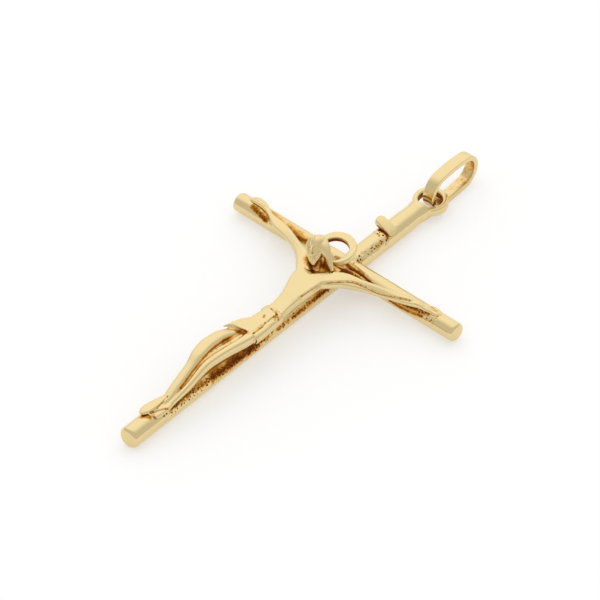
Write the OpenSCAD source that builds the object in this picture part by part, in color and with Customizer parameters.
/* [Cross] */
// Height from the foot of the upright to the middle of the cross-arm
crossing_h = 27.8; // [24:0.1:30]
// Height from the middle of the cross-arm to the middle of the eye
eye_h = 10.63; // [9:0.01:12]
// Length of the cross-arm from end to end
arm_l = 24.5; // [20:0.5:30]
// Diameter of the round upright
upright_d = 1.97; // [1.8:0.01:2.2]
// Diameter of the round cross-arm
arm_d = 1.69; // [1.5:0.01:1.8]
// Softened rim at each end of the bars
rim = 0.22; // [0.1:0.01:0.4]

/* [Eye] */
// Radius of the hole that the bail passes through
eye_hole_r = 1.02; // [1:0.01:1.1]
// Radial width of the ring around the hole
eye_wall = 0.51; // [0.4:0.01:0.52]
// Front to back thickness of the ring
eye_t = 0.8; // [0.6:0.01:0.82]
// Softened edge of the ring
eye_edge = 0.14; // [0.1:0.01:0.18]
// How far below the middle of the hole the upright ends
eye_to_bar = 1.37; // [1.3:0.01:1.45]

/* [Bail] */
// Width of the flat band, from side to side
band_w = 1.08; // [0.9:0.01:1.1]
// Thickness of the flat band
band_t = 0.48; // [0.4:0.01:0.5]
// Outer radius of the end inside the eye
bail_near_r = 1.75; // [1.7:0.01:1.8]
// Outer radius of the far end
bail_far_r = 1.66; // [1.5:0.01:1.7]
// Distance between the middles of the two ends
bail_span = 2.9; // [2.4:0.1:3.2]
// How far above the middle of the eye's hole the near end has its middle
bail_up = 1.1; // [1.05:0.01:1.15]
// How far the bail sits to the right of the upright's middle
bail_shift = 0.12; // [0:0.01:0.15]
// Turn of the bail about the front to back line, in degrees
bail_turn = 3; // [0:0.5:4]

/* [Halo and title plate] */
// Outer radius of the halo
halo_r = 1.73; // [1.6:0.01:1.85]
// Radius of the hole in the halo
halo_hole_r = 1.24; // [1.1:0.01:1.3]
// How far the hole sits below the middle of the halo
halo_drop = 0.26; // [0.1:0.01:0.3]
// Thickness of the halo
halo_t = 0.55; // [0.4:0.01:0.7]
// Lean of the halo's upper edge away from the bars, in degrees
halo_lean = 8; // [0:1:15]
// Width of the bare title plate across the upright
title_w = 2; // [1.8:0.05:2.4]
// Height of the title plate along the upright
title_h = 1; // [0.8:0.05:1.3]
// Thickness of the title plate
title_t = 0.55; // [0.4:0.05:0.7]
// Slant of the title plate across the upright, in degrees
title_slant = 22; // [0:1:30]

/* [Figure] */
// How far the figure's left arm, on the right, drops more than its right one, in degrees
arm_drop = 1; // [0:0.5:3]
// Sides of each lofted section of the figure
sides = 16; // [12:2:24]
// Rings between two rows of a table
steps = 2; // [1:1:3]
// Bow of the head towards the chest, in degrees
head_bow = 38; // [20:1:50]
// Tilt of the head towards its right shoulder, in degrees
head_tilt = 38; // [20:1:45]
// Turn of the face towards its right shoulder, in degrees
head_turn = 35; // [20:1:45]

/* [Hidden] */
$fn = 64;

upright_r = upright_d / 2;
arm_r = arm_d / 2;
axis_z = upright_r;
eye_r = eye_hole_r + eye_wall;
upright_l = crossing_h + eye_h - eye_to_bar;
bail_lean = asin((bail_near_r - bail_far_r) / bail_span);
bail_reach = bail_span * cos(bail_lean) + bail_far_r;
overall_top = crossing_h + eye_h + bail_up + bail_reach * cos(bail_turn) + band_w / 2 * sin(bail_turn);
mid_y = overall_top / 2;

// Every table below is measured from the middle of the crossing:
// x to the right, y up the cross, z out of it, in millimetres.
// Its columns are the middle of a section, its width across, its depth
// front to back, and its roll about its own path in degrees.
X = 0;
Y = 1;
Z = 2;
WIDE = 3;
DEEP = 4;
ROLL = 5;

torso = [
    // x, y, z, wide, deep, roll
    [0.20, -3.20, 1.60, 1.70, 0.90, 0],
    [0.16, -4.00, 1.88, 2.30, 1.05, 0],
    [0.12, -4.80, 2.12, 2.75, 1.18, 0],
    [0.12, -5.40, 2.16, 2.72, 1.18, 0],
    [0.20, -6.20, 2.14, 2.46, 1.15, 0],
    [0.30, -7.20, 2.00, 1.96, 1.10, 0],
    [0.33, -8.30, 1.80, 1.65, 1.00, 0],
    [0.33, -9.30, 1.68, 1.65, 1.00, 0],
    [0.38, -10.4, 1.66, 1.90, 1.05, 0],
    [0.35, -11.6, 1.70, 2.05, 1.05, 0],
    [0.20, -12.8, 1.75, 1.90, 0.95, 0],
];

// The arm on the right of the picture; the other one is its mirror image.
arm = [
    // x, y, z, wide, deep, roll
    [0.70, -4.75, 2.12, 1.40, 1.10, 0],
    [1.45, -3.92, 2.12, 1.56, 1.08, 0],
    [2.35, -3.08, 2.00, 1.38, 0.98, -10],
    [3.45, -2.30, 1.74, 1.20, 0.85, -20],
    [4.60, -1.62, 1.45, 1.12, 0.72, -25],
    [5.80, -1.08, 1.18, 0.98, 0.62, -20],
    [7.10, -0.62, 0.98, 0.80, 0.60, -5],
    [8.20, -0.22, 0.86, 0.66, 0.56, 10],
    [9.00, 0.06, 0.82, 0.78, 0.50, 18],
    [9.60, 0.16, 0.80, 0.92, 0.46, 20],
    [10.1, 0.14, 0.72, 0.80, 0.38, 20],
    [10.35, 0.12, 0.62, 0.45, 0.25, 15],
];

cloth = [
    // x, y, z, wide, deep, roll
    [0.34, -9.55, 1.72, 1.72, 1.08, 0],
    [0.38, -9.85, 1.72, 1.94, 1.22, 0],
    [0.46, -10.8, 1.72, 2.02, 1.26, 0],
    [0.45, -11.7, 1.74, 2.15, 1.26, 2],
    [0.32, -12.5, 1.80, 2.42, 1.24, 5],
    [0.20, -13.2, 1.86, 2.56, 1.10, 8],
];

cloth_flare = [
    // x, y, z, wide, deep, roll
    [-0.15, -11.2, 1.85, 0.60, 0.70, 10],
    [-0.45, -12.2, 1.95, 0.85, 0.75, 14],
    [-0.85, -13.2, 2.05, 0.95, 0.72, 18],
    [-1.20, -14.0, 2.15, 0.60, 0.50, 20],
];

knot = [
    // x, y, z, wide, deep, roll
    [0.05, -10.1, 2.05, 0.35, 0.40, 0],
    [0.22, -10.6, 2.24, 0.66, 0.50, 0],
    [0.40, -11.2, 2.24, 0.50, 0.42, 0],
    [0.60, -12.1, 2.14, 0.48, 0.36, 0],
    [0.74, -12.9, 2.04, 0.42, 0.30, 0],
];

leg_left = [
    // x, y, z, wide, deep, roll
    [-0.45, -12.6, 1.75, 1.10, 1.00, 0],
    [-0.62, -13.9, 1.98, 1.25, 1.10, 0],
    [-0.82, -15.6, 2.25, 1.32, 1.12, 0],
    [-0.80, -17.0, 2.42, 1.32, 1.08, 0],
    [-0.58, -18.3, 2.42, 1.22, 1.00, 0],
    [-0.36, -19.4, 2.10, 0.98, 0.88, 0],
    [-0.18, -20.8, 1.72, 0.98, 0.86, 0],
    [-0.08, -22.0, 1.42, 0.80, 0.70, 0],
    [0.00, -22.8, 1.26, 0.64, 0.58, 0],
];

leg_right = [
    // x, y, z, wide, deep, roll
    [0.70, -12.4, 1.64, 1.20, 0.95, 0],
    [0.66, -14.0, 1.78, 1.15, 1.05, 0],
    [0.42, -15.8, 1.96, 1.10, 1.02, 0],
    [0.42, -17.4, 2.12, 0.95, 1.00, 0],
    [0.46, -18.5, 2.14, 0.80, 0.94, 0],
    [0.48, -19.6, 1.86, 0.72, 0.84, 0],
    [0.57, -20.9, 1.54, 0.64, 0.78, 0],
    [0.55, -22.1, 1.28, 0.56, 0.64, 0],
    [0.58, -22.9, 1.14, 0.52, 0.56, 0],
];

// The metal left between the legs, behind them.
web = [
    // x, y, z, wide, deep, roll
    [0.10, -12.6, 1.55, 0.90, 0.70, 0],
    [0.02, -14.5, 1.72, 0.70, 0.70, 0],
    [-0.10, -16.5, 1.92, 0.60, 0.70, 0],
    [-0.04, -18.2, 1.98, 0.55, 0.70, 0],
    [0.12, -19.8, 1.62, 0.45, 0.60, 0],
];

foot_left = [
    // x, y, z, wide, deep, roll
    [-0.02, -22.4, 1.28, 0.62, 0.56, 0],
    [-0.10, -23.1, 1.22, 0.68, 0.62, 0],
    [-0.26, -23.9, 1.16, 0.82, 0.56, 0],
    [-0.36, -24.7, 1.14, 0.92, 0.50, 0],
    [-0.36, -25.3, 1.12, 0.80, 0.42, 0],
    [-0.30, -25.6, 1.08, 0.42, 0.26, 0],
];

foot_right = [
    // x, y, z, wide, deep, roll
    [0.58, -22.5, 1.16, 0.52, 0.54, 0],
    [0.54, -23.2, 1.08, 0.60, 0.56, 0],
    [0.44, -23.9, 1.02, 0.70, 0.52, 0],
    [0.28, -24.7, 0.98, 0.70, 0.44, 0],
    [0.16, -25.2, 0.94, 0.40, 0.28, 0],
];

// The head's own tables: x across the face, y up to the crown, z out of
// the face, measured from the middle of the head.
head_at = [-0.88, -2.85, 3.52];

skull = [
    // x, y,     z,     wide, deep, roll
    [0, -1.24, 0.30, 0.22, 0.26, 0],
    [0, -1.05, 0.24, 0.66, 0.66, 0],
    [0, -0.72, 0.12, 1.00, 1.10, 0],
    [0, -0.34, 0.04, 1.22, 1.36, 0],
    [0, 0.06, -0.02, 1.34, 1.46, 0],
    [0, 0.44, -0.05, 1.36, 1.52, 0],
    [0, 0.80, -0.10, 1.22, 1.34, 0],
    [0, 1.06, -0.14, 0.86, 0.96, 0],
    [0, 1.18, -0.15, 0.34, 0.40, 0],
];

nose = [
    // x, y,     z,    wide, deep, roll
    [0, 0.16, 0.62, 0.12, 0.20, 0],
    [0, -0.02, 0.70, 0.15, 0.22, 0],
    [0, -0.22, 0.78, 0.22, 0.26, 0],
    [0, -0.32, 0.74, 0.24, 0.20, 0],
    [0, -0.37, 0.66, 0.12, 0.10, 0],
];

brow = [
    // x,    y,    z,    wide, deep, roll
    [-0.56, 0.12, 0.34, 0.10, 0.10, 0],
    [-0.32, 0.22, 0.60, 0.14, 0.14, 0],
    [0.00, 0.18, 0.66, 0.14, 0.14, 0],
    [0.32, 0.22, 0.60, 0.14, 0.14, 0],
    [0.56, 0.12, 0.34, 0.10, 0.10, 0],
];

beard = [
    // x, y,     z,    wide, deep, roll
    [0, -0.66, 0.44, 0.70, 0.46, 0],
    [0, -0.90, 0.42, 0.78, 0.52, 0],
    [0, -1.15, 0.40, 0.58, 0.44, 0],
    [0, -1.34, 0.38, 0.24, 0.22, 0],
];

hair_back = [
    // x, y, z, wide, deep, roll
    [0, -1.30, -0.62, 0.80, 0.45, 0],
    [0, -0.90, -0.52, 1.20, 0.80, 0],
    [0, -0.35, -0.36, 1.46, 1.16, 0],
    [0, 0.25, -0.26, 1.60, 1.44, 0],
    [0, 0.72, -0.22, 1.50, 1.42, 0],
    [0, 1.06, -0.20, 1.10, 1.06, 0],
    [0, 1.25, -0.18, 0.46, 0.48, 0],
];

// The lock on the left of the face; the other one is its mirror image.
lock = [
    // x,    y,     z,    wide, deep, roll
    [-0.10, 1.14, 0.10, 0.24, 0.30, 0],
    [-0.42, 0.86, 0.36, 0.36, 0.40, 20],
    [-0.66, 0.42, 0.38, 0.38, 0.52, 30],
    [-0.74, -0.10, 0.26, 0.36, 0.56, 30],
    [-0.70, -0.60, 0.12, 0.34, 0.50, 20],
    [-0.58, -1.06, 0.00, 0.30, 0.42, 10],
    [-0.46, -1.40, -0.10, 0.16, 0.24, 0],
];

// The hair that falls from the crown onto the figure's left shoulder.
fall = [
    // x, y, z, wide, deep, roll
    [-1.20, -2.20, 4.15, 0.70, 0.60, 0],
    [-0.45, -2.50, 3.86, 0.95, 0.70, 0],
    [0.22, -2.85, 3.46, 0.75, 0.60, 0],
    [0.78, -3.12, 3.04, 0.50, 0.46, 0],
    [1.20, -3.36, 2.60, 0.26, 0.30, 0],
];

neck = [
    // x, y, z, wide, deep, roll
    [-0.62, -3.00, 3.00, 0.80, 0.85, 0],
    [-0.32, -3.60, 2.42, 0.85, 0.80, 0],
    [0.00, -4.30, 1.98, 1.20, 0.80, 0],
    [0.05, -4.90, 1.92, 1.30, 0.80, 0],
];

halo_at = [-0.4, -0.9, 2.2];
title_at = [-0.12, 4.98, 1.12];

function unit(v) = v / norm(v);
function place(row) = [row[X], row[Y], row[Z]];

// A smooth curve through four rows, from b to c as t goes from 0 to 1.
function curve(a, b, c, d, t) =
    (2 * b + (c - a) * t + (2 * a - 5 * b + 4 * c - d) * t * t
        + (3 * b - a - 3 * c + d) * t * t * t) / 2;

function row_at(rows, i) = rows[min(max(i, 0), len(rows) - 1)];

function smooth(rows) = [
    for (i = [0 : len(rows) - 2])
        for (k = [0 : steps - 1])
            curve(row_at(rows, i - 1), rows[i], rows[i + 1], row_at(rows, i + 2), k / steps),
    rows[len(rows) - 1],
];

function heading(rows, i) = unit(place(row_at(rows, i + 1)) - place(row_at(rows, i - 1)));

// How far a rounded section reaches at an angle; a higher square is boxier.
function reach(s, square) = sign(s) * pow(abs(s), 2 / square);

function section(row, along, square) =
    let (
        out = unit([0, 0, 1] - along * along[2]),
        across = cross(along, out),
        roll = row[ROLL],
        u = across * cos(roll) + out * sin(roll),
        v = out * cos(roll) - across * sin(roll)
    )
    [
        for (k = [0 : sides - 1])
            let (angle = 360 * (k + 0.5) / sides)
            place(row) + u * row[WIDE] / 2 * reach(cos(angle), square)
                + v * row[DEEP] / 2 * reach(sin(angle), square)
    ];

// A closed skin through the sections of a table.
module loft(table, square = 2) {
    rows = smooth(table);
    last = len(rows) - 1;
    points = [for (i = [0 : last]) each section(rows[i], heading(rows, i), square)];
    walls = [
        for (i = [0 : last - 1])
            for (k = [0 : sides - 1])
                let (n = (k + 1) % sides)
                each [
                    [i * sides + k, i * sides + n, (i + 1) * sides + n],
                    [i * sides + k, (i + 1) * sides + n, (i + 1) * sides + k],
                ]
    ];
    foot_cap = [[for (k = [sides - 1 : -1 : 0]) k]];
    head_cap = [[for (k = [0 : sides - 1]) last * sides + k]];
    polyhedron(points, concat(walls, foot_cap, head_cap), convexity = 6);
}

module head_features() {
    loft(skull, 2.2);
    loft(nose);
    loft(brow);
    loft(beard);
    loft(hair_back, 2.2);
    loft(lock);
    mirror([1, 0, 0]) loft(lock);
}

module head() {
    translate(head_at)
        rotate([head_bow, 0, head_tilt])
            rotate([0, -head_turn, 0]) head_features();
    loft(neck);
    loft(fall);
}

module figure() {
    loft(torso, 2.8);
    loft(arm, 2.6);
    translate([0.12, 0, 0]) rotate([0, 0, arm_drop]) mirror([1, 0, 0]) loft(arm, 2.6);
    loft(cloth, 2.6);
    loft(cloth_flare, 2.4);
    loft(knot);
    loft(leg_left, 2.3);
    loft(leg_right, 2.3);
    loft(web);
    loft(foot_left, 2.4);
    loft(foot_right, 2.4);
    head();
}

// A round bar along +Z from the origin, with a softened rim at each end.
module bar(l, r) {
    rotate_extrude()
        polygon([
            [0, 0],
            [r - rim, 0],
            [r, rim],
            [r, l - rim],
            [r - rim, l],
            [0, l],
        ]);
}

module upright() {
    translate([0, -crossing_h, 0]) rotate([-90, 0, 0]) bar(upright_l, upright_r);
}

module cross_arm() {
    translate([-arm_l / 2, 0, 0]) rotate([0, 90, 0]) bar(arm_l, arm_r);
}

module eye() {
    translate([0, eye_h, 0])
        rotate_extrude()
            polygon([
                [eye_hole_r, -eye_t / 2 + eye_edge],
                [eye_hole_r + eye_edge, -eye_t / 2],
                [eye_r - eye_edge, -eye_t / 2],
                [eye_r, -eye_t / 2 + eye_edge],
                [eye_r, eye_t / 2 - eye_edge],
                [eye_r - eye_edge, eye_t / 2],
                [eye_hole_r + eye_edge, eye_t / 2],
                [eye_hole_r, eye_t / 2 - eye_edge],
            ]);
}

module halo() {
    translate(halo_at)
        rotate([halo_lean, 0, 0])
            difference() {
                cylinder(h = halo_t, r = halo_r);
                translate([0, -halo_drop, -1]) cylinder(h = halo_t + 2, r = halo_hole_r);
            }
}

module title_plate() {
    translate(title_at)
        rotate([0, title_slant, 0])
            cube([title_w, title_h, title_t], center = true);
}

module crucifix() {
    color("khaki")
        translate([0, crossing_h - mid_y, axis_z])
            union() {
                upright();
                cross_arm();
                eye();
                halo();
                title_plate();
                figure();
            }
}

// The outline of the oval bail, with its near end at the origin.
module oval(near_r, far_r) {
    lean = asin((near_r - far_r) / bail_span);
    circle(near_r);
    translate([bail_span, 0]) circle(far_r);
    polygon([
        near_r * [sin(lean), cos(lean)],
        near_r * [sin(lean), -cos(lean)],
        [bail_span, 0] + far_r * [sin(lean), -cos(lean)],
        [bail_span, 0] + far_r * [sin(lean), cos(lean)],
    ]);
}

module bail() {
    color("khaki")
        translate([bail_shift, crossing_h + eye_h + bail_up - mid_y, bail_near_r])
            rotate([-bail_lean, 0, bail_turn])
                rotate([90, 0, 90])
                    linear_extrude(band_w, center = true)
                        difference() {
                            oval(bail_near_r, bail_far_r);
                            oval(bail_near_r - band_t, bail_far_r - band_t);
                        }
}

crucifix();
bail();
